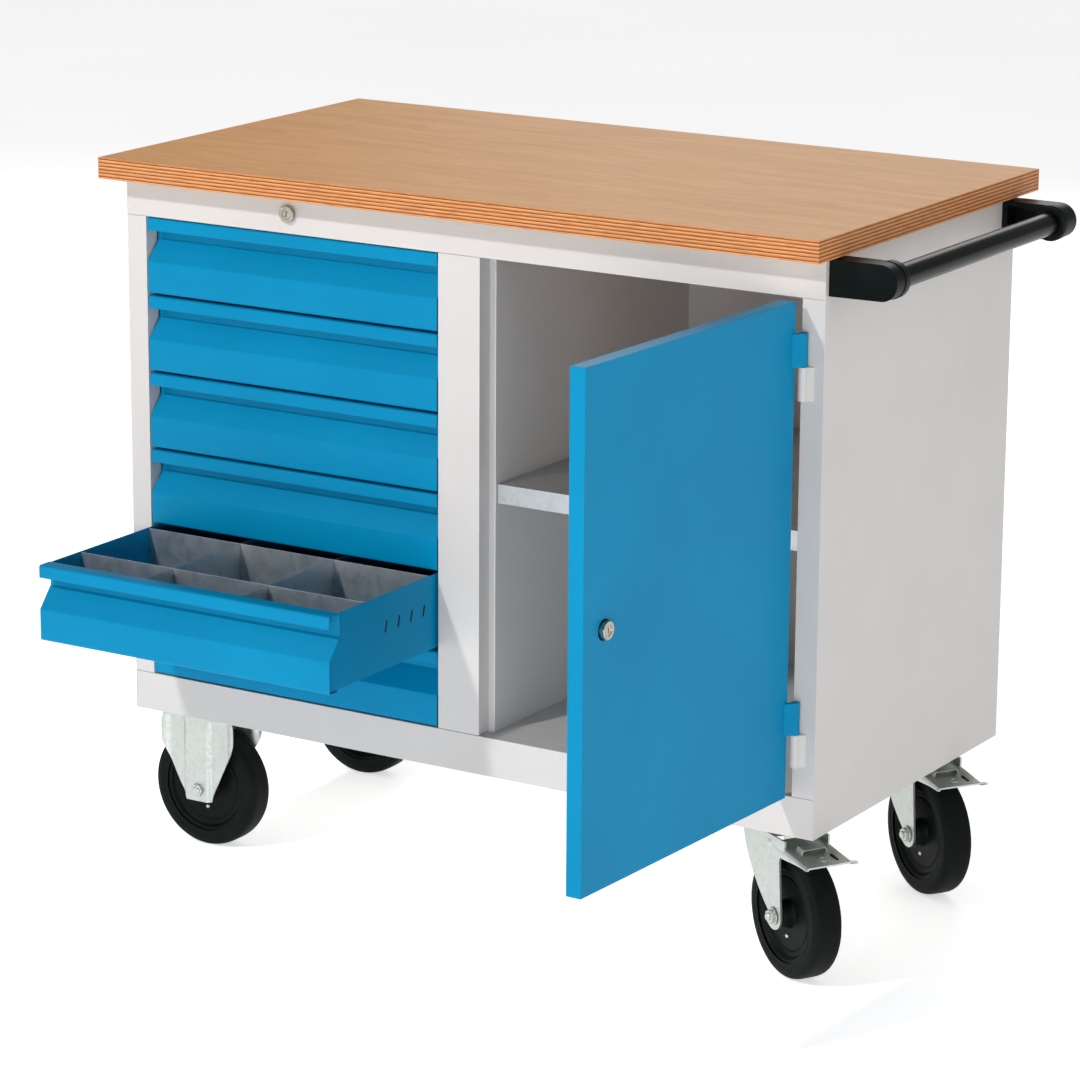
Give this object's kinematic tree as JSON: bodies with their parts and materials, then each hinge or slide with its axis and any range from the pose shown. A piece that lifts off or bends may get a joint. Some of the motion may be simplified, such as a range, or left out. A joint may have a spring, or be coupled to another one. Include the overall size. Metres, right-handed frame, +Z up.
{
  "type": "mobile workbench",
  "caption": "Mobile workbench with a multiplex top, a stack of drawers, a cupboard with a hinged door, a push handle and castors.",
  "frame": {"origin": "on the floor, under the middle of the bench's outer box with the door and the fifth drawer open as at rest", "axes": "+X to the right seen from the front, +Y from the front to the back, +Z up, normal to the worktop"},
  "size_m": [1.2295, 1.1052, 1.03],
  "materials": {
    "beech_multiplex": "oiled",
    "grey_paint": "satin powder coat",
    "blue_paint": "satin powder coat",
    "galvanised_sheet": "galvanised",
    "zinc_plate": "zinc plated",
    "nickel": "nickel plated",
    "black_plastic": "fine texture",
    "black_tube": "satin",
    "black_rubber": "matt",
    "black_rim": "satin"
  },
  "bodies": {
    "cabinet": {"worktop": "beech_multiplex", "left_side_panel": "grey_paint", "right_side_panel": "grey_paint", "back_panel": "grey_paint", "floor_panel": "grey_paint", "top_rail": "grey_paint", "bottom_rail": "grey_paint", "centre_stile": "grey_paint", "partition_drawer_side": "grey_paint", "partition_door_side": "grey_paint", "base_channels": "grey_paint", "frame_hinge_knuckles": "grey_paint", "shelf": "galvanised_sheet", "shelf_brackets": "zinc_plate", "drawer_rails": "zinc_plate", "handle_tube": "black_tube", "handle_bracket_front": "black_plastic", "handle_bracket_rear": "black_plastic", "drawer_lock_body": "nickel", "worktop_screws": "zinc_plate", "handle_screws": "zinc_plate", "castor_bolts": "zinc_plate", "fixed_castor_axles": "zinc_plate", "fixed_castor_front": "zinc_plate", "fixed_castor_rear": "zinc_plate", "swivel_plate_front": "zinc_plate", "swivel_plate_rear": "zinc_plate"},
    "drawer_1": {"drawer_front_1": "blue_paint", "drawer_tray_1": "blue_paint"},
    "drawer_2": {"drawer_front_2": "blue_paint", "drawer_tray_2": "blue_paint"},
    "drawer_3": {"drawer_front_3": "blue_paint", "drawer_tray_3": "blue_paint"},
    "drawer_4": {"drawer_front_4": "blue_paint", "drawer_tray_4": "blue_paint"},
    "drawer_5": {"drawer_front_5": "blue_paint", "drawer_tray_5": "blue_paint", "drawer_dividers_long": "galvanised_sheet", "drawer_dividers_cross": "galvanised_sheet"},
    "drawer_6": {"drawer_front_6": "blue_paint", "drawer_tray_6": "blue_paint"},
    "door": {"door_panel": "blue_paint", "door_hinge_knuckles": "blue_paint", "door_lock_body": "nickel"},
    "door_key_plug": {"door_lock_plug": "nickel"},
    "drawer_key_plug": {"drawer_lock_plug": "nickel"},
    "swivel_front": {"swivel_fork_front": "zinc_plate", "swivel_axle_front": "zinc_plate"},
    "pedal_front": {"brake_pedal_front": "zinc_plate"},
    "left_wheel_front": {"left_tyre_front": "black_rubber", "left_rim_front": "black_rim"},
    "right_wheel_front": {"right_tyre_front": "black_rubber", "right_rim_front": "black_rim"},
    "swivel_rear": {"swivel_fork_rear": "zinc_plate", "swivel_axle_rear": "zinc_plate"},
    "pedal_rear": {"brake_pedal_rear": "zinc_plate"},
    "left_wheel_rear": {"left_tyre_rear": "black_rubber", "left_rim_rear": "black_rim"},
    "right_wheel_rear": {"right_tyre_rear": "black_rubber", "right_rim_rear": "black_rim"}
  },
  "joints": [
    {"name": "drawer_1_slide", "type": "slide", "parent": "cabinet", "child": "drawer_1", "axis": [0, -1, 0], "range_m": [0, 0.4]},
    {"name": "drawer_2_slide", "type": "slide", "parent": "cabinet", "child": "drawer_2", "axis": [0, -1, 0], "range_m": [0, 0.4]},
    {"name": "drawer_3_slide", "type": "slide", "parent": "cabinet", "child": "drawer_3", "axis": [0, -1, 0], "range_m": [0, 0.4]},
    {"name": "drawer_4_slide", "type": "slide", "parent": "cabinet", "child": "drawer_4", "axis": [0, -1, 0], "range_m": [0, 0.4]},
    {"name": "drawer_5_slide", "type": "slide", "parent": "cabinet", "child": "drawer_5", "axis": [0, -1, 0], "range_m": [-0.262, 0.138]},
    {"name": "drawer_6_slide", "type": "slide", "parent": "cabinet", "child": "drawer_6", "axis": [0, -1, 0], "range_m": [0, 0.4]},
    {"name": "door_hinge", "type": "hinge", "parent": "cabinet", "child": "door", "pos_m": [0.48975, -0.05739, 0.607], "axis": [0, 0, 1], "range_deg": [-87.5, 90]},
    {"name": "door_lock_turn", "type": "hinge", "parent": "door", "child": "door_key_plug", "pos_m": [0.46317, -0.50566, 0.607], "axis": [-0.999, 0.0436, 0], "range_deg": [0, 90]},
    {"name": "drawer_lock_turn", "type": "hinge", "parent": "cabinet", "child": "drawer_key_plug", "pos_m": [-0.322, -0.05039, 0.972], "axis": [0, 1, 0], "range_deg": [0, 90]},
    {"name": "castor_front_swivel", "type": "hinge", "parent": "cabinet", "child": "swivel_front", "pos_m": [0.42475, 0.02561, 0.2], "axis": [0, 0, 1], "continuous": true},
    {"name": "brake_front_press", "type": "hinge", "parent": "swivel_front", "child": "pedal_front", "pos_m": [0.45561, 0.00707, 0.19], "axis": [0.515, 0.8572, 0], "range_deg": [0, 8]},
    {"name": "right_wheel_front_spin", "type": "hinge", "parent": "swivel_front", "child": "right_wheel_front", "pos_m": [0.46761, -0.00014, 0.09], "axis": [0.515, 0.8572, 0], "continuous": true},
    {"name": "left_wheel_front_spin", "type": "hinge", "parent": "cabinet", "child": "left_wheel_front", "pos_m": [-0.52125, 0.02561, 0.09], "axis": [0, 1, 0], "continuous": true},
    {"name": "castor_rear_swivel", "type": "hinge", "parent": "cabinet", "child": "swivel_rear", "pos_m": [0.42475, 0.42961, 0.2], "axis": [0, 0, 1], "continuous": true},
    {"name": "brake_rear_press", "type": "hinge", "parent": "swivel_rear", "child": "pedal_rear", "pos_m": [0.4546, 0.40948, 0.19], "axis": [0.5592, 0.829, 0], "range_deg": [0, 8]},
    {"name": "right_wheel_rear_spin", "type": "hinge", "parent": "swivel_rear", "child": "right_wheel_rear", "pos_m": [0.4662, 0.40165, 0.09], "axis": [0.5592, 0.829, 0], "continuous": true},
    {"name": "left_wheel_rear_spin", "type": "hinge", "parent": "cabinet", "child": "left_wheel_rear", "pos_m": [-0.52125, 0.42961, 0.09], "axis": [0, 1, 0], "continuous": true}
  ]
}
